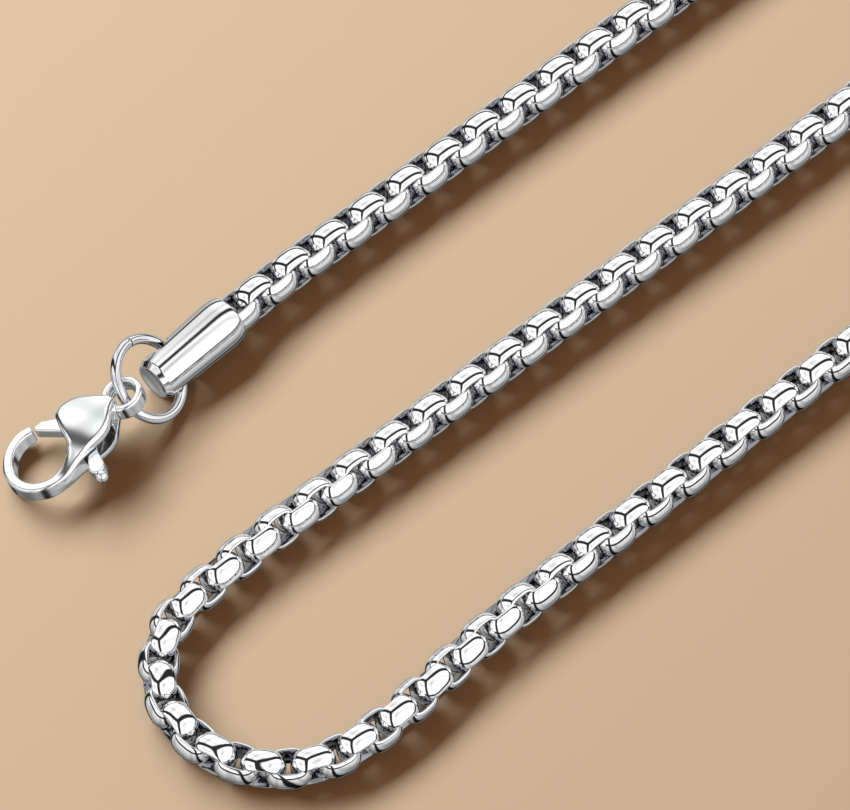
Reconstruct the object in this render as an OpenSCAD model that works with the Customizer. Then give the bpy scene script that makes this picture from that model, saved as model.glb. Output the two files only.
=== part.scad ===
// Round box chain necklace, unfastened and laid on a flat surface in three strands.
// X runs along the strands, +Z is up and the surface is z = 0.

/* [Chain] */
// Outside diameter of the round box chain
chain_d = 3.0; // [2.6:0.1:3.2]
// Length of the chain from the middle of its first link to the middle of its last
chain_l = 411; // [380:1:420]
// Length of one link along the chain
link_l = 3.0; // [2.96:0.02:3.1]
// Thickness of the flat strip that a link is bent from
link_wall = 0.42; // [0.38:0.01:0.44]
// Free play between two interlocked links along the chain
link_play = 0.35; // [0.33:0.01:0.4]
// Free space at each side of a link inside the opening of its neighbour
side_play = 0.28; // [0.26:0.01:0.36]
// Distance across a link's rounded corners
link_corner_d = 3.42; // [3.36:0.02:3.56]

/* [End caps] */
// Outside diameter of an end cap
cap_d = 3.5; // [3.4:0.05:3.8]
// Length of an end cap
cap_l = 7.7; // [7.3:0.1:8.5]
// Gap between the chain and the bore of an end cap
cap_gap = 0.06; // [0.05:0.01:0.08]
// Radius of the rounded rim at an end cap's closed end
cap_rim_r = 0.35; // [0.2:0.05:0.4]
// Diameter of the cross hole that the ring passes through
cap_cross_d = 2.1; // [2.05:0.05:2.2]
// Distance of the cross hole's middle from the closed end
cap_cross_at = 2.0; // [1.95:0.01:2.02]

/* [Jump rings] */
// Outside diameter of a jump ring
ring_d = 6.74; // [6.6:0.02:6.9]
// Diameter of a jump ring's wire
ring_wire_d = 0.78; // [0.7:0.02:0.8]
// Tilt of a ring from lying flat
ring_tilt = 40; // [36:1:42]

/* [Clasp] */
// Outside radius of the clasp's hook
hook_r = 2.8; // [2.7:0.05:2.9]
// Width of the hook's band
hook_band = 0.8; // [0.7:0.05:0.9]
// Height of the hook's band
hook_h = 1.3; // [1.2:0.05:1.5]
// Direction of the hook's open tip, seen from above
hook_tip_angle = 70; // [68:1:74]
// Radius of the clasp's round cheek
cheek_r = 2.3; // [2.2:0.05:2.35]
// Distance from the middle of the hook to the middle of the cheek
cheek_at = 3.8; // [3.7:0.05:3.85]
// Height of the clasp over the crown of both cheeks
cheek_h = 3.1; // [2.9:0.05:3.3]
// Radius of the dome on each cheek
cheek_dome_r = 6; // [5:0.25:8]
// Distance from the middle of the hook to the middle of the eye
eye_at = 7.55; // [7.5:0.05:7.8]
// Diameter of the eye's hole
eye_hole_d = 1.72; // [1.68:0.02:1.8]
// Thickness of the eye's round rim
eye_rim = 0.56; // [0.5:0.02:0.6]
// Upward slope of the clasp, from the hook on the surface to the eye on the ring
clasp_slope = 13.2; // [12.4:0.2:13.4]
// Sideways lean of the clasp
clasp_lean = 14; // [12:1:16]

/* [Clasp lever] */
// Height of the lever between the cheeks
lever_h = 0.9; // [0.8:0.02:1]
// Running gap above and below the lever
lever_gap = 0.1; // [0.08:0.01:0.15]
// Diameter of the lever's pin
pin_d = 0.8; // [0.7:0.05:0.9]
// Radial running gap between the pin and the lever
pin_gap = 0.04; // [0.02:0.01:0.06]
// Radial gap between the pin and the cheeks
pin_seat_gap = 0.02; // [0.02:0.01:0.04]
// Depth that the pin enters each cheek
pin_depth = 0.5; // [0.4:0.05:0.6]
// Width of the lever's arms
lever_w = 0.75; // [0.65:0.05:0.85]
// Radius of the lever's thumb knob
knob_r = 0.5; // [0.45:0.05:0.55]

/* [Hidden] */

steel = "#c6c8cb";
steel_dark = "#aeb1b5";
fine = 48;       // facets of a circle in the small links
smooth = 96;     // facets of a circle in the larger pieces
past = 1;        // how far a cutting shape runs past what it cuts
tuck = 0.01;     // how far a straight side sits inside the circles that it joins

// Opening and pitch of the links
link_hole_l = link_l - 2 * link_wall;
link_hole_h = chain_d - 2 * link_wall;
strip_w = link_hole_h - 2 * side_play;
pitch = link_hole_l - link_play;
links = floor(chain_l / pitch) + 1;
links_a = floor(links / 2);
cap_bore_d = chain_d + 2 * cap_gap;
// Distance of the first link's middle from the closed end of its cap
cap_end_gap = 0.3;
first_link_at = cap_cross_at + cap_cross_d / 2 + cap_end_gap + link_l / 2;

// The chain lies along rows of [length, turn in degrees], a positive turn bending left.
// It starts at the closed end of the first cap, which lies slightly turned.
route_start = [-13.4, 14.22, 3.4];
ROUTE = [
    [cap_l + 1.6, 0],    // inside the cap and just out of it
    [6, -3.6],           // easing into the first strand
    [101, 0],            // first strand
    [24.3, -179.8],      // far turn
    [117.2, 0],          // second strand
    [9, 6],              // easing into the bend
    [24.9, 168],         // round bend
    [7, 14],             // leaving the bend
    [12.2, -6.6],        // easing into the third strand
    [120, 0]             // third strand, which ends with the last link
];

// Roll of every other link, in rows of [distance along the route, roll to the left in degrees].
// The links between them are turned a quarter turn further.
ROLL = [[0, -74], [58, -74], [106, -8], [190, -16], [246, -17], [257, -38], [268, -66], [277, -84],
        [285, -91], [291, -94], [298, -112], [307, -139], [321, -177], [500, -178]];

// Middle of the whole piece in the route's coordinates, which the origin stands under
middle = [39.85, -1.35];

function arc_end(p, length, turn) =
    let (aim = p[2] + turn / 2,
         chord = turn == 0 ? length : length * sin(turn / 2) / (turn / 2 * PI / 180))
    [p[0] + chord * cos(aim), p[1] + chord * sin(aim), p[2] + turn];
function route_at(s, row = 0, p = route_start) =
    let (length = ROUTE[row][0], turn = ROUTE[row][1])
    s <= length || row == len(ROUTE) - 1
        ? arc_end(p, s, turn * s / length)
        : route_at(s - length, row + 1, arc_end(p, length, turn));
function smooth_step(t) = let (c = min(max(t, 0), 1)) c * c * (3 - 2 * c);

last_link_at = first_link_at + (links - 1) * pitch;
route_l = last_link_at + first_link_at;
// The chain is lifted to the middle of its caps and comes down to the surface over this length
lift_l = 14;
function lift_at(s) =
    let (from_cap = min(s, route_l - s) - cap_l)
    chain_d / 2 + (cap_d - chain_d) / 2 * (1 - smooth_step(from_cap / lift_l));

// Jump ring: how far it reaches into the cap past the cross hole's middle, where its own
// middle lies before the closed end and to the side, and the heading of its slope
ring_r = (ring_d - ring_wire_d) / 2;
ring_in_hole = 0.55;
ring_reach = 0.95 * ring_r;
ring_past_cap = ring_reach - cap_cross_at - ring_in_hole;
ring_aside = 0.1;
ring_heading = -57;
ring_z = ring_r * sin(ring_tilt) + ring_wire_d / 2;
// Slope across the cap of the wire where it passes through, and its distance below the axis
cross_slope = 33;
cross_below = 0.44;

// Clasp outline, seen from above with the hook's middle at zero and the eye on +X
hook_lap = 40;           // turn of the hook's band that runs into the root
hook_edge_r = 0.27;      // rounding of the hook's band
cheek_side = -0.05;
// Front of the cheeks, which a straight cut takes back from the hook's opening
cheek_front = [[1, -0.9], [1.83, -0.9], [2.42, 0.24], [3, 2.06], [3, 3], [1, 3]];
neck_at = eye_at - 1.25; // last round of the cheeks, which runs into the eye's rim
neck_r = 0.6;
slot_h = lever_h + 2 * lever_gap;
slot_start = 1.15;
slot_end = 5.0;
root_end = 2.2;
root_side = -0.95;
root_step = 0.04;        // how far the root stands back from the inside of the hook's band
pin_at = [3.9, 0.5];
nose_at = [1.52, 2.2];
nose_r = 0.42;
knob_at = [2.4, -4.2];
knob_arm_r = 0.25;
eye_hold_angle = 241;
clasp_heading = -3.3;

module at_layout() translate([-middle[0], -middle[1], 0]) children();
module at_route(s, z) {
    p = route_at(s);
    translate([p[0], p[1], z]) rotate([0, 0, p[2]]) children();
}

// Outline of two circles and the straight sides that touch both
module belt(c1, r1, c2, r2, facets = smooth) {
    span = c2 - c1;
    heading = atan2(span[1], span[0]);
    lean = asin((r1 - r2) / norm(span));
    up = heading + 90 - lean;
    down = heading - 90 + lean;
    translate(c1) circle(r1, $fn = facets);
    translate(c2) circle(r2, $fn = facets);
    s1 = r1 - tuck;
    s2 = r2 - tuck;
    polygon([c1 + s1 * [cos(up), sin(up)], c1 + s1 * [cos(down), sin(down)],
             c2 + s2 * [cos(down), sin(down)], c2 + s2 * [cos(up), sin(up)]]);
}

module round_rect(size, r, facets = fine) {
    square([size[0] - 2 * r, size[1]], center = true);
    square([size[0], size[1] - 2 * r], center = true);
    for (i = [-1, 1], j = [-1, 1])
        translate([i * (size[0] / 2 - r), j * (size[1] / 2 - r)]) circle(r, $fn = facets);
}

// One box link: a strip loop, crowned to the chain's round outside
module link() {
    difference() {
        intersection() {
            rotate([90, 0, 0]) cylinder(h = strip_w, d = link_corner_d, center = true, $fn = fine);
            rotate([0, 90, 0]) cylinder(h = link_l + past, d = chain_d, center = true, $fn = fine);
            cylinder(h = chain_d + past, d = link_l, center = true, $fn = fine);
        }
        cube([link_hole_l, strip_w + past, link_hole_h], center = true);
    }
}

module chain_links(first, last) {
    for (i = [first : last]) {
        s = first_link_at + i * pitch;
        roll = lookup(s, ROLL) + (i % 2) * 90;
        color(i % 2 == 0 ? steel : steel_dark)
            at_layout() at_route(s, lift_at(s)) rotate([-roll, 0, 0]) link();
    }
}
module chain_a() chain_links(0, links_a - 1);
module chain_b() chain_links(links_a, links - 1);

// End cap: closed at its start, open where the chain leaves it
module cap() {
    color(steel) difference() {
        rotate([90, 0, 90]) rotate_extrude($fn = smooth) {
            square([cap_d / 2 - cap_rim_r, cap_l]);
            translate([0, cap_rim_r]) square([cap_d / 2, cap_l - cap_rim_r]);
            translate([cap_d / 2 - cap_rim_r, cap_rim_r]) circle(cap_rim_r, $fn = fine);
        }
        translate([cap_cross_at - cap_cross_d / 2, 0, 0]) rotate([0, 90, 0])
            cylinder(h = cap_l, d = cap_bore_d, $fn = smooth);
        translate([cap_cross_at, 0, 0]) rotate([cross_slope - 90, 0, 0])
            translate([0, cross_below, 0])
                cylinder(h = cap_d + past, d = cap_cross_d, center = true, $fn = fine);
    }
}
module end_cap() at_layout() at_route(0, cap_d / 2) cap();
module tail_cap() at_layout() at_route(route_l, cap_d / 2) rotate([0, 0, 180]) cap();

// Jump ring, in the frame of its cap
module in_ring() translate([-ring_past_cap, ring_aside, ring_z])
    rotate([0, 0, ring_heading - route_start[2]]) rotate([0, ring_tilt, 0]) children();
module ring() color(steel) in_ring()
    rotate_extrude($fn = smooth) translate([ring_r, 0]) circle(d = ring_wire_d, $fn = fine);
module jump_ring() at_layout() at_route(0, 0) ring();
module tail_ring() at_layout() at_route(route_l, 0) rotate([0, 0, 180]) ring();

// The clasp's eye is centred on the ring's wire
function turn_z(v, a) = [v[0] * cos(a) - v[1] * sin(a), v[0] * sin(a) + v[1] * cos(a), v[2]];
function turn_y(v, a) = [v[0] * cos(a) + v[2] * sin(a), v[1], v[2] * cos(a) - v[0] * sin(a)];
eye_in_ring = ring_r * [cos(eye_hold_angle), sin(eye_hold_angle), 0];
module at_clasp() {
    ring_middle = turn_z([-ring_past_cap, ring_aside, ring_z], route_start[2]);
    eye = turn_z(turn_y(eye_in_ring, ring_tilt), ring_heading) + ring_middle
        + [route_start[0], route_start[1], 0];
    at_layout() translate(eye) rotate([0, -clasp_slope, clasp_heading])
        rotate([-clasp_lean, 0, 0]) translate([-eye_at, 0, 0]) children();
}

module at_pin() translate([pin_at[0], pin_at[1], 0]) children();

// Ball that rounds one cheek, with its poles turned to the sides
module cheek_dome(side) translate([cheek_at, 0, side * (cheek_h / 2 - cheek_dome_r)])
    rotate([90, 0, 0]) sphere(cheek_dome_r, $fn = smooth);

// Clasp body: hook, two domed cheeks with the lever's slot between them, and the eye
module clasp_blank() {
    rotate([0, 0, hook_tip_angle]) rotate_extrude(angle = 360 - 2 * hook_tip_angle + hook_lap, $fn = smooth)
        translate([hook_r - hook_band / 2, 0]) round_rect([hook_band, hook_h], hook_edge_r);
    intersection() {
        linear_extrude(cheek_h + past, center = true) difference() {
            union() {
                belt([cheek_at, cheek_side], cheek_r, [neck_at, 0], neck_r);
                intersection() {
                    belt([0, 0], hook_r, [cheek_at, cheek_side], cheek_r);
                    translate([0, -2 * hook_r]) square([cheek_at, 2 * hook_r + root_side]);
                }
            }
            circle(hook_r - hook_band + root_step, $fn = smooth);
            polygon(cheek_front);
        }
        cheek_dome(1);
        cheek_dome(-1);
    }
    translate([eye_at, 0, 0]) rotate_extrude($fn = smooth)
        translate([(eye_hole_d + eye_rim) / 2, 0]) circle(d = eye_rim, $fn = fine);
}
module clasp_body() color(steel) at_clasp() difference() {
    clasp_blank();
    translate([eye_at, 0, 0]) cylinder(h = cheek_h + past, d = eye_hole_d, center = true, $fn = smooth);
    translate([0, 0, -slot_h / 2]) linear_extrude(slot_h) {
        translate([root_end, -2 * hook_r]) square([slot_end - root_end, 4 * hook_r]);
        translate([slot_start, root_side]) square([slot_end - slot_start, 3 * hook_r]);
    }
    at_pin() cylinder(h = slot_h + 2 * (pin_depth + pin_seat_gap), d = pin_d + 2 * pin_seat_gap,
                      center = true, $fn = fine);
}

// Lever: a flat arm to the hook's tip, a hub on the pin and a thumb knob outside
module clasp_lever() color(steel_dark) at_clasp() difference() {
    union() {
        linear_extrude(lever_h, center = true) {
            belt(pin_at, lever_w, nose_at, nose_r, fine);
            belt(pin_at, lever_w, knob_at, knob_arm_r, fine);
        }
        translate([knob_at[0], knob_at[1], 0]) sphere(knob_r, $fn = fine);
    }
    at_pin() cylinder(h = lever_h + past, d = pin_d + 2 * pin_gap, center = true, $fn = fine);
}
module clasp_pin() color(steel) at_clasp() at_pin()
    cylinder(h = slot_h + 2 * pin_depth, d = pin_d, center = true, $fn = fine);

clasp_body();
clasp_lever();
clasp_pin();
jump_ring();
end_cap();
chain_a();
chain_b();
tail_cap();
tail_ring();
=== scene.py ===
"""Round box chain necklace of polished stainless steel, laid out unfastened on a plain floor.

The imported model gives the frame. Each piece is then made the way it shows in a close photograph.
Lengths are in millimetres in each section and become metres when a mesh is made.
"""

import math

import bpy
import numpy as np
from mathutils import Matrix, Vector


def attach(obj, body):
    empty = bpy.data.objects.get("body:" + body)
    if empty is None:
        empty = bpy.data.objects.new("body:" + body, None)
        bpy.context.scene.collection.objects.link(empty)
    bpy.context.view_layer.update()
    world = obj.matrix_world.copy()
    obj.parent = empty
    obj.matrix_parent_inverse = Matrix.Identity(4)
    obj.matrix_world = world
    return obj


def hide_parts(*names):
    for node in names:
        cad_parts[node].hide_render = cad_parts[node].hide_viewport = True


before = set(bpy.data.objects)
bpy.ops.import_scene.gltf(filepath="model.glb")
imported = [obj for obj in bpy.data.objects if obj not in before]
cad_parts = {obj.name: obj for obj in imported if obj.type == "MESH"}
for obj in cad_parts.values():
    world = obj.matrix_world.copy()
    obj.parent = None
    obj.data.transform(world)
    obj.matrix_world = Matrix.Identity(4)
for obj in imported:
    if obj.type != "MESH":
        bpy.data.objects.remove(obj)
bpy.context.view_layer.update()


# ---------------------------------------------------------------------------------------------
# Chain links. Each link is a loop of stainless strip, pressed square in side view and crowned
# round on the outside, threaded through the next one a quarter turn on. The links are tumbled
# until the outside is a mirror; the inside of the loops is rougher, and its colour is painted
# darker as shade in the recesses between the links.

MM = 0.001
CHAIN_D = 3.0
LINK_L = 3.0
LINK_WALL = 0.42
LINK_PLAY = 0.35
STRIP_W = 1.86
PITCH = LINK_L - 2 * LINK_WALL - LINK_PLAY
LINKS = 228
LINKS_A = 114

CAP_D = 3.5
CAP_L = 7.7
CAP_CROSS_D = 2.1
CAP_CROSS_AT = 2.0
CAP_END_GAP = 0.3
FIRST_LINK_AT = CAP_CROSS_AT + CAP_CROSS_D / 2 + CAP_END_GAP + LINK_L / 2
ROUTE_L = 2 * FIRST_LINK_AT + (LINKS - 1) * PITCH
LIFT_L = 14.0

# The laid chain: where it starts with its heading, then rows of length and turn in degrees
ROUTE_START = (-13.4, 14.22, 3.4)
ROUTE = [
    (CAP_L + 1.6, 0), (6, -3.6), (101, 0), (24.3, -179.8), (117.2, 0),
    (9, 6), (24.9, 168), (7, 14), (12.2, -6.6), (120, 0),
]
# Roll of every other link along the route, in degrees to the left
ROLL = [
    (0, -74), (58, -74), (106, -8), (190, -16), (246, -17), (257, -38), (268, -66), (277, -84),
    (285, -91), (291, -94), (298, -112), (307, -139), (321, -177), (500, -178),
]
MIDDLE = (39.85, -1.35)


def arc_end(start, length, turn):
    """Point and heading at the end of an arc that turns by so many degrees."""
    x, y, heading = start
    chord = length
    if turn:
        chord = length * math.sin(math.radians(turn / 2)) / math.radians(turn / 2)
    aim = math.radians(heading + turn / 2)
    return x + chord * math.cos(aim), y + chord * math.sin(aim), heading + turn


def route_at(s):
    """Point and heading of the chain's line at a distance from its start."""
    here = ROUTE_START
    for row, (length, turn) in enumerate(ROUTE):
        if s <= length or row == len(ROUTE) - 1:
            return arc_end(here, s, turn * s / length)
        here = arc_end(here, length, turn)
        s -= length


def lift_at(s):
    """Height of the chain's middle: it comes down from its caps to the floor."""
    t = min(max((min(s, ROUTE_L - s) - CAP_L) / LIFT_L, 0), 1)
    return CHAIN_D / 2 + (CAP_D - CHAIN_D) / 2 * (1 - t * t * (3 - 2 * t))


def turned(x=0, y=0, z=0):
    """Matrix that turns about X, then Y, then Z, in degrees."""
    return (
        Matrix.Rotation(math.radians(z), 4, "Z")
        @ Matrix.Rotation(math.radians(y), 4, "Y")
        @ Matrix.Rotation(math.radians(x), 4, "X")
    )


def on_route(s, z):
    """Matrix of a place on the chain's line, with X along the chain."""
    x, y, heading = route_at(s)
    return Matrix.Translation((x - MIDDLE[0], y - MIDDLE[1], z)) @ turned(z=heading)


def solid(name, points, faces, place=None):
    """Mesh object from points in millimetres, smooth, at the origin with its place in its mesh."""
    mesh = bpy.data.meshes.new(name)
    mesh.from_pydata([tuple(p) for p in np.asarray(points, float)], [], [tuple(f) for f in faces])
    mesh.transform(Matrix.Scale(MM, 4) @ (place or Matrix.Identity(4)))
    mesh.update()
    mesh.shade_smooth()
    piece = bpy.data.objects.new(name, mesh)
    bpy.context.scene.collection.objects.link(piece)
    return piece


def ring_faces(stations, points, closed=True):
    """Quads that join the sections of a sweep, each section a closed loop of points."""
    faces = []
    for i in range(stations if closed else stations - 1):
        a, b = i * points, (i + 1) % stations * points
        for j in range(points):
            k = (j + 1) % points
            faces.append((a + j, b + j, b + k, a + k))
    return faces


def node(tree, kind, settings=None, **inputs):
    """Adds a node; an input is a value or another node's output socket."""
    made = tree.nodes.new(kind)
    for key, value in (settings or {}).items():
        setattr(made, key, value)
    for key, value in inputs.items():
        name = key.replace("_", " ")
        socket = made.inputs[int(key[1:])] if key[1:].isdigit() else made.inputs[name]
        if isinstance(value, bpy.types.NodeSocket):
            tree.links.new(value, socket)
        else:
            socket.default_value = value
    return made


def colour(code):
    """Linear colour of an sRGB hex value."""
    parts = [int(code[i : i + 2], 16) / 255 for i in (1, 3, 5)]
    return [p / 12.92 if p <= 0.04045 else ((p + 0.055) / 1.055) ** 2.4 for p in parts] + [1]


# Polishing and tumbling cut unevenly, which leaves faint clouds a few millimetres wide
CLOUD_MM, CLOUD_HAZE = 3.0, 0.05


def steel(name, bright, dull_shaded, smooth, rough, scratch_mm, scratch_depth, stretch=(1, 1, 1)):
    """Stainless steel: bright where it was polished; where the polish did not reach it is rougher
    and its colour is painted darker as shade, with fine scratches whose spacing and direction
    follow how the piece was finished."""
    made = bpy.data.materials.new(name)
    made.use_nodes = True
    tree = made.node_tree
    shader = tree.nodes["Principled BSDF"]
    shader.inputs["Metallic"].default_value = 1.0
    place = node(tree, "ShaderNodeTexCoord").outputs["Object"]
    polish_and_shade = node(tree, "ShaderNodeAttribute", {"attribute_name": "polish_and_shade"}).outputs["Fac"]
    mapped = node(tree, "ShaderNodeMapping", Vector=place, Scale=stretch).outputs["Vector"]
    grain = node(
        tree, "ShaderNodeTexNoise", Vector=mapped, Scale=1 / (scratch_mm * MM), Detail=4.0
    ).outputs["Fac"]
    cloud = node(
        tree, "ShaderNodeTexNoise", Vector=place, Scale=1 / (CLOUD_MM * MM)
    ).outputs["Fac"]
    # Unpolished places take the darker colour, which is painted shade
    finish_and_shade = node(
        tree, "ShaderNodeMix", {"data_type": "RGBA"}, i0=polish_and_shade, i6=colour(dull_shaded), i7=colour(bright)
    ).outputs[2]
    tree.links.new(finish_and_shade, shader.inputs["Base Color"])
    gloss = node(
        tree, "ShaderNodeMapRange", Value=polish_and_shade, To_Min=rough, To_Max=smooth
    ).outputs["Result"]
    haze = node(
        tree, "ShaderNodeMath", {"operation": "MULTIPLY_ADD"}, i0=cloud, i1=CLOUD_HAZE, i2=gloss
    ).outputs[0]
    tree.links.new(haze, shader.inputs["Roughness"])
    bump = node(
        tree, "ShaderNodeBump", Height=grain, Strength=1.0, Distance=scratch_depth * MM
    ).outputs["Normal"]
    tree.links.new(bump, shader.inputs["Normal"])
    return made


def store_polish_and_shade(piece, share):
    """Stores how well each point was polished, from 0 to 1; below 1 the steel's colour is also
    painted darker as shade.
    """
    values = np.broadcast_to(np.asarray(share, np.float32), len(piece.data.vertices))
    store = piece.data.attributes.new("polish_and_shade", "FLOAT", "POINT")
    store.data.foreach_set("value", np.ascontiguousarray(values))


def make_link():
    """One link around its middle: X along the chain, Z out through its crowned faces."""
    stations = 40
    # Powers of the two rounded squares that the strip's faces follow
    outer_power, inner_power = 2.6, 5.0
    # The ends are stretched and the strip is thick there, so that the links look closed up
    outer_stretch, inner_stretch = 1.12, 1.05
    wall = LINK_WALL + 0.13
    crown_r = 1.42
    half_w = STRIP_W / 2
    outer, inner = CHAIN_D / 2, CHAIN_D / 2 - wall
    # Section of the strip from its middle outwards: distance across, face, set back from the face
    half = [
        (0.0, 1, 0.0), (0.3, 1, 0.0), (0.58, 1, 0.0), (0.78, 1, 0.0), (0.87, 1, 0.012),
        (0.915, 1, 0.035), (half_w, 1, 0.07), (half_w, 0, 0.04), (0.9, 0, 0.0), (0.0, 0, 0.0),
    ]
    section = half + [(-u, face, back) for u, face, back in half[-2:0:-1]]
    points, share = [], []
    for i in range(stations):
        angle = 2 * math.pi * i / stations
        c, s = math.cos(angle), math.sin(angle)
        for u, face, back in section:
            power = outer_power if face else inner_power
            reach = (abs(c) ** power + abs(s) ** power) ** (-1 / power)
            drop = crown_r - math.sqrt(crown_r**2 - u * u)
            r = outer * reach - drop - back if face else inner * reach + back
            points.append((r * c * (outer_stretch if face else inner_stretch), u, r * s))
            # Inner faces are marked unpolished: rougher, and painted darker as shade in the
            # recesses
            share.append(1.0 if face else 0.0)
    piece = solid("one_link", points, ring_faces(stations, len(section)))
    store_polish_and_shade(piece, share)
    return piece


def links_tree():
    """Node tree that puts a link on each point of a line, turned as the point says."""
    tree = bpy.data.node_groups.new("links_on_line", "GeometryNodeTree")
    for name, kind in (("Line", "Geometry"), ("Link", "Object"), ("Steel", "Material")):
        tree.interface.new_socket(name, in_out="INPUT", socket_type="NodeSocket" + kind)
    tree.interface.new_socket("Links", in_out="OUTPUT", socket_type="NodeSocketGeometry")
    given = node(tree, "NodeGroupInput").outputs
    link = node(tree, "GeometryNodeObjectInfo", Object=given["Link"]).outputs["Geometry"]
    turn = node(
        tree, "GeometryNodeInputNamedAttribute", {"data_type": "FLOAT_VECTOR"}, Name="turn"
    ).outputs["Attribute"]
    rotation = node(tree, "FunctionNodeEulerToRotation", Euler=turn).outputs["Rotation"]
    placed = node(
        tree, "GeometryNodeInstanceOnPoints", Points=given["Line"], Instance=link, Rotation=rotation
    ).outputs["Instances"]
    real = node(tree, "GeometryNodeRealizeInstances", Geometry=placed).outputs["Geometry"]
    dressed = node(
        tree, "GeometryNodeSetMaterial", Geometry=real, Material=given["Steel"]
    ).outputs["Geometry"]
    tree.links.new(dressed, node(tree, "NodeGroupOutput").inputs["Links"])
    return tree


def lay_links(name, first, last, tree, link, material):
    """Links from first to last on the route, as one plain mesh."""
    line = bpy.data.meshes.new(name + "_line")
    places, turns = [], []
    for i in range(first, last):
        s = FIRST_LINK_AT + i * PITCH
        x, y, heading = route_at(s)
        stops, rolls = zip(*ROLL)
        roll = float(np.interp(s, stops, rolls)) + i % 2 * 90
        places.append(((x - MIDDLE[0]) * MM, (y - MIDDLE[1]) * MM, lift_at(s) * MM))
        turns.append((math.radians(-roll), 0, math.radians(heading)))
    line.from_pydata(places, [], [])
    line.attributes.new("turn", "FLOAT_VECTOR", "POINT").data.foreach_set(
        "vector", np.array(turns, np.float32).ravel()
    )
    carrier = bpy.data.objects.new(name, line)
    bpy.context.scene.collection.objects.link(carrier)
    laying = carrier.modifiers.new("laying", "NODES")
    laying.node_group = tree
    for item in tree.interface.items_tree:
        if item.in_out == "INPUT" and item.name in ("Link", "Steel"):
            laying[item.identifier] = link if item.name == "Link" else material
    bpy.context.view_layer.update()
    shown = carrier.evaluated_get(bpy.context.evaluated_depsgraph_get())
    mesh = bpy.data.meshes.new_from_object(shown)
    carrier.modifiers.remove(laying)
    carrier.data = mesh
    return carrier


# Tumbling leaves a mirror with scratches too fine to see; they are drawn 0.25 mm apart. The
# inner side is rougher and painted dark grey, as painted shade in the recesses between the links.
link_steel = steel(
    "tumbled_stainless_strip", bright="#F4F4F5", dull_shaded="#8E8F92",
    smooth=0.025, rough=0.05, scratch_mm=0.25, scratch_depth=0.0006,
)
one_link = make_link()
link_tree = links_tree()
for chain_node, first_link, end_link in (("chain_a", 0, LINKS_A), ("chain_b", LINKS_A, LINKS)):
    run = lay_links(chain_node + "_links", first_link, end_link, link_tree, one_link, link_steel)
    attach(run, "necklace")
    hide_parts(chain_node)
bpy.data.objects.remove(one_link)


# ---------------------------------------------------------------------------------------------
# End caps. A turned tube, closed at one end and drilled across for the ring, holds the last
# links. Its end is chamfered and dished. It widens a little towards its rounded mouth, so it
# lies with its mouth slightly raised.

CAP_BORE_D = CHAIN_D + 0.26
CAP_END_R, CAP_MOUTH_R = 1.66, 1.87
CAP_SLOPE = 2.1
CHAMFER_END, MOUTH_START = 0.56, 6.2
CAP_CREASE = 40.0
CROSS_SLOPE = 33.0
CROSS_BELOW = 0.44


def make_cap(name, place):
    """Tube end cap along X with its closed end at zero."""
    facets, drill_facets = 96, 64
    r, mouth = CAP_END_R, CAP_MOUTH_R
    bore, bore_end = CAP_BORE_D / 2, CAP_CROSS_AT - CAP_CROSS_D / 2
    # Rows of distance from the closed end and radius: dish, chamfer, wall, mouth and bore
    profile = [
        (0.2, 0.001), (0.19, 0.4), (0.14, 0.8), (0.06, 1.15), (0.0, 1.35), (0.02, 1.4),
        (0.38, r - 0.07), (0.46, r - 0.02), (CHAMFER_END, r), (MOUTH_START, mouth),
        (6.6, mouth), (CAP_L - 0.8, mouth - 0.02), (CAP_L - 0.5, mouth - 0.06),
        (CAP_L - 0.28, mouth - 0.11), (CAP_L - 0.12, mouth - 0.16), (CAP_L - 0.03, mouth - 0.2),
        (CAP_L, bore + 0.01), (CAP_L - 0.05, bore), (bore_end + 0.06, bore),
        (bore_end, bore - 0.06), (bore_end, 0.001),
    ]
    points = []
    for i in range(facets):
        angle = 2 * math.pi * i / facets
        points += [(x, q * math.cos(angle), q * math.sin(angle)) for x, q in profile]
    n = len(profile)
    faces = [
        (i * n + j, i * n + j + 1, (i + 1) % facets * n + j + 1, (i + 1) % facets * n + j)
        for i in range(facets)
        for j in range(n - 1)
    ]
    faces += [[i * n for i in range(facets)], [i * n + n - 1 for i in reversed(range(facets))]]
    piece = solid(name, points, faces)
    drill_points = [
        (CAP_CROSS_D / 2 * math.cos(a), CAP_CROSS_D / 2 * math.sin(a), z)
        for z in (-CAP_D, CAP_D)
        for a in np.linspace(0, 2 * math.pi, drill_facets, endpoint=False)
    ]
    drill_faces = [face[::-1] for face in ring_faces(2, drill_facets, closed=False)]
    drill_faces += [list(range(drill_facets))[::-1], list(range(drill_facets, 2 * drill_facets))]
    drill_place = (
        Matrix.Translation((CAP_CROSS_AT, 0, 0))
        @ turned(x=CROSS_SLOPE - 90)
        @ Matrix.Translation((0, CROSS_BELOW, 0))
    )
    drill = solid(name + "_drill", drill_points, drill_faces, drill_place)
    hole = piece.modifiers.new("hole", "BOOLEAN")
    hole.object = drill
    hole.solver = "EXACT"
    bpy.context.view_layer.update()
    shown = piece.evaluated_get(bpy.context.evaluated_depsgraph_get())
    piece.data = bpy.data.meshes.new_from_object(shown)
    piece.modifiers.clear()
    bpy.data.objects.remove(drill)
    piece.data.shade_smooth()
    piece.data.set_sharp_from_angle(angle=math.radians(CAP_CREASE))
    piece.data.transform(Matrix.Scale(MM, 4) @ place @ Matrix.Scale(1 / MM, 4))
    store_polish_and_shade(piece, 1.0)
    return piece


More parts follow.
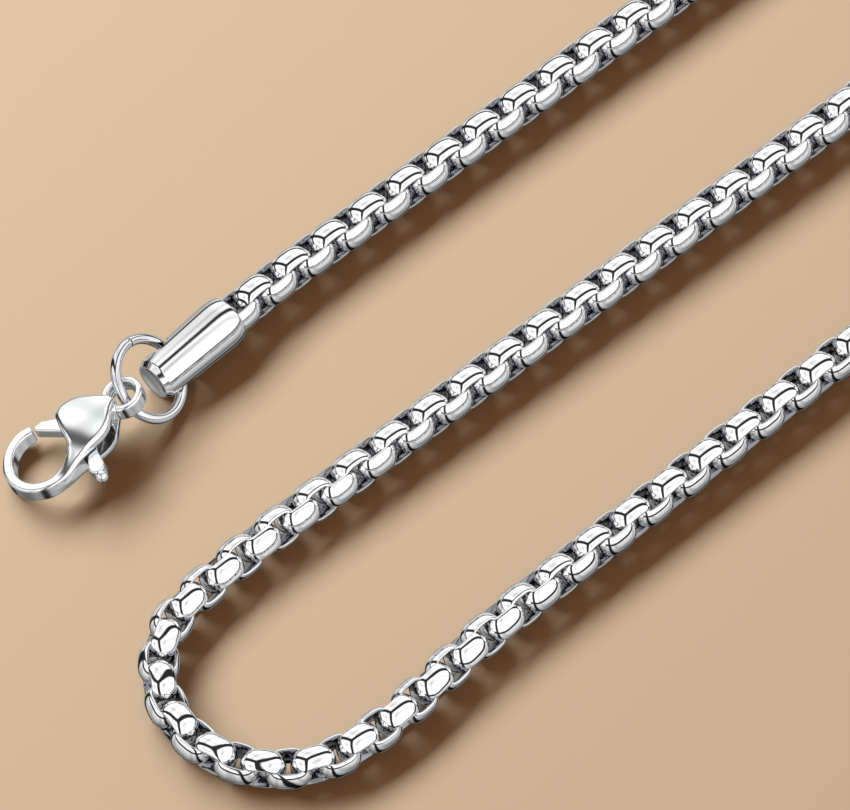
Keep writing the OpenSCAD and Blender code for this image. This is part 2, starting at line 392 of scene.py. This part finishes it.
# Turning leaves lines round the cap, which blur its reflections along it a little. They are
# drawn 0.15 mm apart so that they show at this size.
cap_steel = steel(
    "turned_stainless", bright="#E6E6E6", dull_shaded="#55565A",
    smooth=0.09, rough=0.3, scratch_mm=0.15, scratch_depth=0.0006, stretch=(1, 0.15, 0.15),
)
head_place = on_route(0, CAP_END_R) @ turned(y=-CAP_SLOPE)
tail_place = on_route(ROUTE_L, CAP_END_R) @ turned(z=180) @ turned(y=-CAP_SLOPE)
for cap_node, cap_place in (("end_cap", head_place), ("tail_cap", tail_place)):
    cap = make_cap(cap_node + "_tube", cap_place)
    cap.data.materials.clear()
    cap.data.materials.append(cap_steel)
    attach(cap, "necklace")
    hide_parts(cap_node)


# ---------------------------------------------------------------------------------------------
# Jump rings. Round drawn wire, cut, bent through the hole of a cap and pushed shut, so that a
# fine seam is left where its two ends meet.

RING_D = 6.74
WIRE_D = 0.78
RING_TILT = 40.0
RING_HEADING = -57.0
RING_ASIDE = 0.1
RING_REACH, RING_IN_HOLE = 0.95, 0.55
SEAM_AT, SEAM_GAP = 150.0, 0.03
CUT_END = 0.93
ring_r = (RING_D - WIRE_D) / 2
ring_past_cap = RING_REACH * ring_r - CAP_CROSS_AT - RING_IN_HOLE
ring_z = ring_r * math.sin(math.radians(RING_TILT)) + WIRE_D / 2
in_ring = (
    Matrix.Translation((-ring_past_cap, RING_ASIDE, ring_z))
    @ turned(z=RING_HEADING - ROUTE_START[2])
    @ turned(y=RING_TILT)
)


def make_ring(name, place):
    """Wire ring in the XY plane, open by the width of its seam, its cut ends slightly rounded."""
    stations, facets = 120, 24
    gap = math.degrees(SEAM_GAP / ring_r)
    points = []
    for i in range(stations + 1):
        share = i / stations
        angle = math.radians(SEAM_AT + gap / 2 + share * (360 - gap))
        r = WIRE_D / 2 * (1 if 0 < i < stations else CUT_END)
        for j in range(facets):
            a = 2 * math.pi * j / facets
            q = ring_r + r * math.cos(a)
            points.append((q * math.cos(angle), q * math.sin(angle), -r * math.sin(a)))
    faces = ring_faces(stations + 1, facets, closed=False)
    last = stations * facets
    faces += [list(range(facets - 1, -1, -1)), list(range(last, last + facets))]
    piece = solid(name, points, faces, place)
    store_polish_and_shade(piece, 1.0)
    return piece


# Drawn wire, tumbled bright, reflects a little softer than the links. The marks of the die are
# drawn 0.4 mm apart so that they show.
ring_steel = steel(
    "drawn_stainless_wire", bright="#DADBDD", dull_shaded="#55565A",
    smooth=0.06, rough=0.3, scratch_mm=0.4, scratch_depth=0.001,
)
for ring_node, ring_base in (
    ("jump_ring", on_route(0, 0)),
    ("tail_ring", on_route(ROUTE_L, 0) @ turned(z=180)),
):
    ring = make_ring(ring_node + "_wire", ring_base @ in_ring)
    ring.data.materials.append(ring_steel)
    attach(ring, "necklace")
    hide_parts(ring_node)


# ---------------------------------------------------------------------------------------------
# Clasp body. One investment casting: a hook, two domed cheeks with a slot between them for the
# lever, and an eye that hangs on the ring. Cast forms run into each other, so the body is the
# zero surface of a distance that blends them, and it is polished all over but in the slot, whose
# inside is rougher and painted darker as shade.

HOOK_R = 2.8
HOOK_BAND = 0.8
HOOK_H = 1.3
HOOK_EDGE = 0.2
HOOK_TIP, HOOK_END = 67.0, 335.0
HOOK_FLARE, FLARE_FROM = 0.48, 150.0
CHEEK_R = 2.3
CHEEK_AT = (3.8, -0.02)
CHEEK_H = 3.1
DOME_R, DOME_OFF = 8.5, 0.2
FRONT_AT, FRONT_LEAN = (2.36, 0.1), 17.0
ROOT_SIDE, ROOT_STEP = -0.9, 0.24
NECK_AT, NECK_R = 6.3, 0.6
EYE_AT = 7.55
EYE_HOLE_D = 1.68
EYE_RIM = 0.6
EYE_FLARE = 0.35
COLLAR_OUT, COLLAR_HALF_W, COLLAR_HALF_H, COLLAR_EDGE = 0.14, 0.27, 0.62, 0.2
# How far the cast forms run into each other, and how round their cut edges are
FRONT_BLEND, ROOT_BLEND, DOME_BLEND, HOOK_BLEND, EYE_BLEND = 0.5, 0.3, 0.4, 0.55, 0.3
COLLAR_BLEND, HOLE_EDGE, SLOT_EDGE = 0.12, 0.06, 0.05
# The slot lets the nose through in front. On the thumb's side it leaves the hook's root whole
# and widens towards the eye.
SLOT_H = 1.1
SLOT_FRONT, SLOT_ROOT, SLOT_BACK = 1.15, 2.35, 5.22
SLOT_SIDE, SLOT_LEAN, SLOT_LEAN_W = -0.2, 0.55, 1.5
GROOVE_AT, GROOVE_HALF_L, GROOVE_SIDE, GROOVE_DEEP = 4.9, 1.2, -0.1, 0.35
PIN_AT = (3.9, 0.5)
CLASP_SLOPE, CLASP_LEAN, CLASP_HEADING = 13.2, 14.0, -3.3
EYE_HOLD_ANGLE = 241.0

# The eye hangs on the ring's wire, and the clasp slopes down from it to the hook on the floor
eye_point = on_route(0, 0) @ in_ring @ Vector(
    (
        ring_r * math.cos(math.radians(EYE_HOLD_ANGLE)),
        ring_r * math.sin(math.radians(EYE_HOLD_ANGLE)),
        0,
    )
)
at_clasp = (
    Matrix.Translation(eye_point)
    @ turned(y=-CLASP_SLOPE, z=CLASP_HEADING)
    @ turned(x=-CLASP_LEAN)
    @ Matrix.Translation((-EYE_AT, 0, 0))
)


def joined(a, b, blend):
    """Distance to two shapes that run into each other over a blend."""
    h = np.clip(0.5 + 0.5 * (b - a) / blend, 0, 1)
    return b + (a - b) * h - blend * h * (1 - h)


def shared(a, b, blend):
    """Distance to what two shapes share, with its new edges rounded."""
    return -joined(-a, -b, blend)


def tapered(x, y, a, ra, b, rb):
    """Distance in plan to two circles and the straight sides that touch both."""
    (ax, ay), (bx, by) = a, b
    span = math.hypot(bx - ax, by - ay)
    ux, uy = (bx - ax) / span, (by - ay) / span
    along = (x - ax) * ux + (y - ay) * uy
    across = np.abs((x - ax) * uy - (y - ay) * ux)
    lean = (ra - rb) / span
    side = math.sqrt(1 - lean * lean)
    k = side * along - lean * across
    middle = across * side + along * lean - ra
    near = np.hypot(across, along) - ra
    far = np.hypot(across, along - span) - rb
    return np.where(k < 0, near, np.where(k > side * span, far, middle))


def raised(plan, z, half_h, edge):
    """Distance to a plan shape given a height, with rounded edges."""
    a, b = plan + edge, np.abs(z) - half_h + edge
    return np.minimum(np.maximum(a, b), 0) + np.hypot(np.maximum(a, 0), np.maximum(b, 0)) - edge


def clasp_body_distance(p):
    """Distance of points to the casting, with the hook round the origin and the eye on +X."""
    x, y, z = p.T
    rho = np.hypot(x, y)
    phi = np.degrees(np.arctan2(y, x)) % 360
    # Hook: a band round the origin, flared towards its tip, which is cut square
    beyond = np.maximum(HOOK_TIP - phi, phi - HOOK_END)
    past = rho * np.sin(np.radians(np.clip(beyond, -90, 90)))
    t = np.clip((FLARE_FROM - phi) / (FLARE_FROM - HOOK_TIP), 0, 1)
    middle = HOOK_R - HOOK_BAND / 2 + HOOK_FLARE * t * t * (3 - 2 * t)
    offset = np.where(beyond > 0, rho * np.cos(np.radians(beyond)), rho) - middle
    band = shared(np.abs(offset) - HOOK_BAND / 2, past, HOOK_EDGE)
    hook = raised(band, z, HOOK_H / 2, HOOK_EDGE)
    # Cheeks: a drop shape in plan under two domes, with the root that runs into the hook
    drop = tapered(x, y, CHEEK_AT, CHEEK_R, (NECK_AT, 0), NECK_R)
    lean = math.radians(FRONT_LEAN)
    front = (FRONT_AT[0] - x) * math.cos(lean) + (y - FRONT_AT[1]) * math.sin(lean)
    drop = shared(drop, front, FRONT_BLEND)
    root = np.maximum(tapered(x, y, (0, 0), HOOK_R, CHEEK_AT, CHEEK_R), y - ROOT_SIDE)
    inside = HOOK_R - HOOK_BAND + ROOT_STEP - rho
    plan = shared(joined(drop, root, ROOT_BLEND), inside, ROOT_BLEND)
    low = CHEEK_H / 2 - DOME_R
    far = np.hypot(x - CHEEK_AT[0] - DOME_OFF, y)
    upper = np.hypot(far, z - low) - DOME_R
    lower = np.hypot(far, z + low) - DOME_R
    cheeks = shared(shared(plan, upper, DOME_BLEND), lower, DOME_BLEND)
    body = joined(hook, cheeks, HOOK_BLEND)
    # Eye: a round rim with a flatter collar round it, and a hole that flares to both sides
    ring = np.hypot(x - EYE_AT, y)
    rim_r = (EYE_HOLE_D + EYE_RIM) / 2
    rim = np.hypot(ring - rim_r, z) - EYE_RIM / 2
    collar_plan = np.abs(ring - rim_r - COLLAR_OUT) - COLLAR_HALF_W
    collar = raised(collar_plan, z, COLLAR_HALF_H, COLLAR_EDGE)
    body = joined(body, joined(rim, collar, COLLAR_BLEND), EYE_BLEND)
    body = shared(body, EYE_HOLE_D / 2 - ring - EYE_FLARE * z * z, HOLE_EDGE)
    # Slot for the lever, and a shallow groove that runs on from it towards the neck
    back = x - SLOT_BACK - SLOT_LEAN * np.clip(SLOT_SIDE - y, 0, SLOT_LEAN_W)
    wide = np.maximum(SLOT_ROOT - x, back)
    mouth = np.maximum(np.maximum(SLOT_FRONT - x, back), SLOT_SIDE - y)
    groove = np.maximum(-GROOVE_DEEP - drop, np.abs(x - GROOVE_AT) - GROOVE_HALF_L)
    groove = np.maximum(groove, y - GROOVE_SIDE)
    slot = np.minimum(np.minimum(wide, mouth), groove)
    slot = np.maximum(slot, np.abs(z) - SLOT_H / 2)
    return shared(body, -slot, SLOT_EDGE)


# The points are pulled on to the surface itself in a few steps, by a slope measured over REACH
PULLS, REACH, FLATTEST = 4, 1e-3, 0.2


def skin(distance, low, high, step):
    """Points and quads of the surface where the distance is zero, found cell by cell."""
    low, high = np.array(low, float), np.array(high, float)
    count = np.ceil((high - low) / step).astype(int) + 1
    axes = [low[i] + step * np.arange(count[i]) for i in range(3)]
    grid = np.stack(np.meshgrid(*axes, indexing="ij"), -1)
    d = distance(grid.reshape(-1, 3)).reshape(count)
    cells = tuple(count - 1)
    total, hits = np.zeros(cells + (3,)), np.zeros(cells)
    corner = np.indices((2, 2, 2)).reshape(3, -1).T

    def at(c):
        return d[tuple(slice(c[i], c[i] + cells[i]) for i in range(3))]

    base = np.stack(np.meshgrid(*[a[:-1] for a in axes], indexing="ij"), -1)
    for a in corner:
        for axis in range(3):
            if a[axis]:
                continue
            b = a.copy()
            b[axis] = 1
            da, db = at(a), at(b)
            cut = (da < 0) != (db < 0)
            t = np.where(cut, da / np.where(cut, da - db, 1), 0)
            spot = base + step * a
            spot[..., axis] += step * t
            total += np.where(cut[..., None], spot, 0)
            hits += cut
    # Each cell's point is the middle of the places where the surface cuts its edges
    used = hits > 0
    points = total[used] / hits[used][:, None]
    index = np.full(cells, -1)
    index[used] = np.arange(len(points))
    # Each cut edge gives a quad between the points of the four cells round it
    faces = []
    for axis in range(3):
        one, two = [i for i in range(3) if i != axis]
        lo = [slice(1, -1)] * 3
        lo[axis] = slice(0, -1)
        hi = list(lo)
        hi[axis] = slice(1, None)
        da, db = d[tuple(lo)], d[tuple(hi)]
        spots = np.argwhere((da < 0) != (db < 0))
        inward = da[tuple(spots.T)] < 0
        spots[:, one] += 1
        spots[:, two] += 1

        def cell(i, j):
            c = spots.copy()
            c[:, one] -= i
            c[:, two] -= j
            return index[tuple(c.T)]

        quad = np.stack([cell(1, 1), cell(0, 1), cell(0, 0), cell(1, 0)], 1)
        flip = inward if axis == 1 else ~inward
        quad[flip] = quad[flip][:, ::-1]
        faces.append(quad)
    for _ in range(PULLS):
        value = distance(points)
        slope = np.stack([(distance(points + REACH * e) - value) / REACH for e in np.eye(3)], 1)
        move = value[:, None] * slope / np.maximum((slope**2).sum(1), FLATTEST)[:, None]
        points -= np.clip(move, -step / 3, step / 3)
    return points, np.concatenate(faces)


# Castings are buffed on a soft wheel, which leaves faint waves about 1.1 mm apart: reflections
# are broad and soft. The slot's inside, which the wheel can't reach, is rougher, and its grey is
# painted shade.
cast_steel = steel(
    "cast_stainless", bright="#EDEEEF", dull_shaded="#6C6D70",
    smooth=0.16, rough=0.32, scratch_mm=1.1, scratch_depth=0.002,
)
BODY_LOW, BODY_HIGH, BODY_CELL = (-3.0, -3.1, -1.75), (9.2, 3.1, 1.75), 0.062
points, faces = skin(clasp_body_distance, BODY_LOW, BODY_HIGH, BODY_CELL)
clasp = solid("clasp_body_casting", points, faces, at_clasp)
# A point lies in the slot if it is between the cheeks and there is a cheek over it; there the
# colour is painted darker as shade
NEAR, OVER_SLOT, SLOT_POLISH_AND_SHADE = 0.02, 0.9, 0.35
UNPOLISHED_SHADED_FROM, UNPOLISHED_SHADED_TO = 1.2, 5.1
shaded_in_slot = np.abs(points[:, 2]) < SLOT_H / 2 + NEAR
shaded_in_slot &= (points[:, 0] > UNPOLISHED_SHADED_FROM) & (points[:, 0] < UNPOLISHED_SHADED_TO)
shaded_in_slot &= clasp_body_distance(points * (1, 1, 0) + (0, 0, OVER_SLOT)) < NEAR
store_polish_and_shade(clasp, np.where(shaded_in_slot, SLOT_POLISH_AND_SHADE, 1.0))
clasp.data.materials.append(cast_steel)
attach(clasp, "necklace")
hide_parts("clasp_body")

# The pin shows only as a sliver between the cheeks, so its plain cylinder stays
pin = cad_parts["clasp_pin"]
pin.data.materials.clear()
pin.data.materials.append(ring_steel)


# ---------------------------------------------------------------------------------------------
# Clasp lever. A flat casting on the pin: a nose that closes the hook, a hub, and an arm that
# comes out under the cheeks and flares into a thumb piece with a small ball at its end.

LEVER_H, LEVER_EDGE = 0.9, 0.13
NOSE_AT, NOSE_R = (1.68, 2.6), 0.42
HUB_R, HUB_BORE_R = 0.78, 0.44
# Each a round at the casting's side, its radius, a round farther out, and its radius
ARM = (3.9, -0.75), 0.8, (3.15, -2.2), 0.3
THUMB = (3.3, -1.9), 0.3, (2.58, -3.66), 0.6
BALL_AT, BALL_R = (2.4, -4.42), 0.47
HUB_BLEND, THUMB_BLEND, BALL_BLEND, BORE_BLEND = 0.2, 0.3, 0.06, 0.04


def clasp_lever_distance(p):
    """Distance of points to the lever, in the same place as the casting."""
    x, y, z = p.T
    nose = tapered(x, y, PIN_AT, HUB_R, NOSE_AT, NOSE_R)
    plan = joined(nose, tapered(x, y, *ARM), HUB_BLEND)
    plan = joined(plan, tapered(x, y, *THUMB), THUMB_BLEND)
    flat = raised(plan, z, LEVER_H / 2, LEVER_EDGE)
    ball = np.sqrt((x - BALL_AT[0]) ** 2 + (y - BALL_AT[1]) ** 2 + z**2) - BALL_R
    bore = HUB_BORE_R - np.hypot(x - PIN_AT[0], y - PIN_AT[1])
    return shared(joined(flat, ball, BALL_BLEND), bore, BORE_BLEND)


LEVER_LOW, LEVER_HIGH, LEVER_CELL = (0.9, -5.0, -0.7), (5.0, 2.7, 0.7), 0.045
points, faces = skin(clasp_lever_distance, LEVER_LOW, LEVER_HIGH, LEVER_CELL)
lever = solid("clasp_lever_casting", points, faces, at_clasp)
store_polish_and_shade(lever, 1.0)
lever.data.materials.append(cast_steel)
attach(lever, "clasp_lever")
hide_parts("clasp_lever")


# ---------------------------------------------------------------------------------------------
# Floor, light and camera, in metres. A plain warm floor, one soft lamp, long in the strands'
# direction so that their shadows run on without teeth, and a white tent around them whose
# three panels show in the metal with dark seams.

FLOOR_HALF, FLOOR_BELOW = 3.0, 0.00001
corners = [(-1, -1), (1, -1), (1, 1), (-1, 1)]
floor_mesh = bpy.data.meshes.new("floor")
floor_mesh.from_pydata(
    [(i * FLOOR_HALF, j * FLOOR_HALF, -FLOOR_BELOW) for i, j in corners], [], [(0, 1, 2, 3)]
)
floor = bpy.data.objects.new("floor", floor_mesh)
bpy.context.scene.collection.objects.link(floor)
# Uncoated paper scatters the light evenly, so the floor has no sheen and its shadows are soft
paper = bpy.data.materials.new("matt_paper")
paper.use_nodes = True
matt = paper.node_tree.nodes["Principled BSDF"].inputs
matt["Base Color"].default_value = colour("#BBAA93")
matt["Roughness"].default_value = 0.9
matt["Specular IOR Level"].default_value = 0.1
floor_mesh.materials.append(paper)
# The tent's lower part takes the floor's place in the reflections
floor.visible_glossy = False

LAMP_FROM = Vector((-0.072, 0.42, 0.353))
lamp_data = bpy.data.lights.new("lamp", "AREA")
lamp_data.shape = "ELLIPSE"
lamp_data.size, lamp_data.size_y = 0.85, 0.22
lamp_data.energy = 6.45
lamp_data.color = (1.0, 0.975, 0.95)
lamp = bpy.data.objects.new("lamp", lamp_data)
lamp.location = LAMP_FROM
lamp.rotation_euler = LAMP_FROM.to_track_quat("Z", "Y").to_euler()
lamp.visible_glossy = False
bpy.context.scene.collection.objects.link(lamp)

tent = bpy.data.worlds.new("tent")
tent.use_nodes = True
bpy.context.scene.world = tent
tree = tent.node_tree
tree.nodes.clear()
look_dir = node(tree, "ShaderNodeTexCoord").outputs["Generated"]


# Steps of arithmetic in the tent's pattern
PLUS, MINUS, TIMES, SIZE = [{"operation": o} for o in ("ADD", "SUBTRACT", "MULTIPLY", "ABSOLUTE")]
UNDER, OVER, HIGHER = [{"operation": o} for o in ("LESS_THAN", "GREATER_THAN", "MAXIMUM")]
ALONG = {"operation": "DOT_PRODUCT"}

# The seams meet high above, a little to the camera's side, and run down in three headings.
# The cloth is greyer towards a seam, and a pole behind it shows as a grey strip.
SEAM_TOP = Vector((-0.17, 0.17, 0.97)).normalized()
SEAM_HEADINGS = (0.0, 106.0, -136.0)
SEAM_W, SEAM_SOFT, SEAM_PAST_TOP = 0.1, 1 / 16, 0.04
FADE_W, FADE_SHADE = 1 / 3, 0.8
POLE_OFF, POLE_W, POLE_SHADE = 0.5, 0.1, 0.72
panels = 1.0
for seam_heading in SEAM_HEADINGS:
    a = math.radians(seam_heading)
    down = Vector((math.cos(a), math.sin(a), 0))
    down = (down - SEAM_TOP * down.dot(SEAM_TOP)).normalized()
    across = tuple(SEAM_TOP.cross(down))
    side = node(tree, "ShaderNodeVectorMath", ALONG, i0=look_dir, i1=across).outputs["Value"]
    off = node(tree, "ShaderNodeMath", SIZE, i0=side).outputs[0]
    clear = node(
        tree, "ShaderNodeMapRange", Value=off, From_Min=SEAM_W, From_Max=SEAM_W + SEAM_SOFT
    ).outputs["Result"]
    fade = node(
        tree, "ShaderNodeMapRange", Value=off, From_Max=FADE_W, To_Min=FADE_SHADE
    ).outputs["Result"]
    off_pole = node(tree, "ShaderNodeMath", MINUS, i0=off, i1=POLE_OFF).outputs[0]
    off_pole = node(tree, "ShaderNodeMath", SIZE, i0=off_pole).outputs[0]
    pole = node(
        tree, "ShaderNodeMapRange", Value=off_pole,
        From_Min=0.5 * POLE_W, From_Max=1.5 * POLE_W, To_Min=POLE_SHADE,
    ).outputs["Result"]
    cloth = node(tree, "ShaderNodeMath", TIMES, i0=fade, i1=pole).outputs[0]
    cloth = node(tree, "ShaderNodeMath", TIMES, i0=clear, i1=cloth).outputs[0]
    # Past the top a seam ends, and the panel there runs on
    way = node(tree, "ShaderNodeVectorMath", ALONG, i0=look_dir, i1=tuple(down)).outputs["Value"]
    past_top = node(tree, "ShaderNodeMath", UNDER, i0=way, i1=-SEAM_PAST_TOP).outputs[0]
    seam = node(tree, "ShaderNodeMath", HIGHER, i0=cloth, i1=past_top).outputs[0]
    panels = node(tree, "ShaderNodeMath", TIMES, i0=panels, i1=seam).outputs[0]

# A dark gap runs round between the panels' lower edge and the table under them, which is
# darker towards its middle
GAP_HEIGHT, GAP_W = 0.02, 0.08
TABLE_MIDDLE, TABLE_EDGE = 0.25, 0.95
PANEL_LIGHT, DARK_LEFT = 0.45, 0.02
height = node(tree, "ShaderNodeSeparateXYZ", Vector=look_dir).outputs["Z"]
off_gap = node(tree, "ShaderNodeMath", MINUS, i0=height, i1=GAP_HEIGHT).outputs[0]
off_gap = node(tree, "ShaderNodeMath", SIZE, i0=off_gap).outputs[0]
gap_clear = node(
    tree, "ShaderNodeMapRange", Value=off_gap, From_Min=0.9 * GAP_W, From_Max=1.9 * GAP_W
).outputs["Result"]
panels = node(tree, "ShaderNodeMath", TIMES, i0=panels, i1=gap_clear).outputs[0]
panels = node(tree, "ShaderNodeMapRange", Value=panels, To_Min=DARK_LEFT).outputs["Result"]
table = node(
    tree, "ShaderNodeMapRange", Value=height, From_Min=-0.9, From_Max=-0.1,
    To_Min=TABLE_MIDDLE, To_Max=TABLE_EDGE,
).outputs["Result"]
above = node(tree, "ShaderNodeMath", OVER, i0=height, i1=0.0).outputs[0]
above = node(tree, "ShaderNodeMath", TIMES, i0=above, i1=PANEL_LIGHT).outputs[0]
glow = node(tree, "ShaderNodeMath", PLUS, i0=table, i1=above).outputs[0]
glow = node(tree, "ShaderNodeMath", TIMES, i0=glow, i1=panels).outputs[0]
metal_light = node(
    tree, "ShaderNodeBackground", Color=colour("#FFFFFF"), Strength=glow
).outputs[0]
room_light = node(
    tree, "ShaderNodeBackground", Color=colour("#FFC69D"), Strength=0.26
).outputs[0]
# The steel shows the tent, while the floor is lit by the lamp and the warm room alone
ray = node(tree, "ShaderNodeLightPath").outputs
from_steel = node(tree, "ShaderNodeMath", UNDER, i0=ray["Diffuse Depth"], i1=0.5).outputs[0]
shows_tent = node(
    tree, "ShaderNodeMath", TIMES, i0=ray["Is Glossy Ray"], i1=from_steel
).outputs[0]
mixed = node(tree, "ShaderNodeMixShader", i0=shows_tent, i1=room_light, i2=metal_light).outputs[0]
tree.links.new(mixed, node(tree, "ShaderNodeOutputWorld").inputs["Surface"])

# The view is all but parallel, so the lens is very long; 60.7 mm of floor fill the width
PHOTO_W, PIXELS_PER_MM = 850, 14
VIEW_W = PHOTO_W / PIXELS_PER_MM
VIEW_ELEVATION, VIEW_HEADING = 57.0, 48.7
SENSOR_W, LENS = 36.0, 900.0
target = Vector((-MIDDLE[0], -MIDDLE[1], CHAIN_D / 2)) * MM
e, h = math.radians(VIEW_ELEVATION), math.radians(VIEW_HEADING)
ahead = Vector((math.cos(h) * math.cos(e), math.sin(h) * math.cos(e), -math.sin(e)))
camera_data = bpy.data.cameras.new("camera")
camera_data.sensor_width = SENSOR_W
camera_data.lens = LENS
camera_data.clip_start, camera_data.clip_end = 0.05, 20.0
camera = bpy.data.objects.new("camera", camera_data)
camera.location = target - ahead * (VIEW_W * MM * LENS / SENSOR_W)
camera.rotation_euler = ahead.to_track_quat("-Z", "Y").to_euler()
bpy.context.scene.collection.objects.link(camera)
bpy.context.scene.camera = camera
bpy.context.scene.view_settings.view_transform = "Standard"
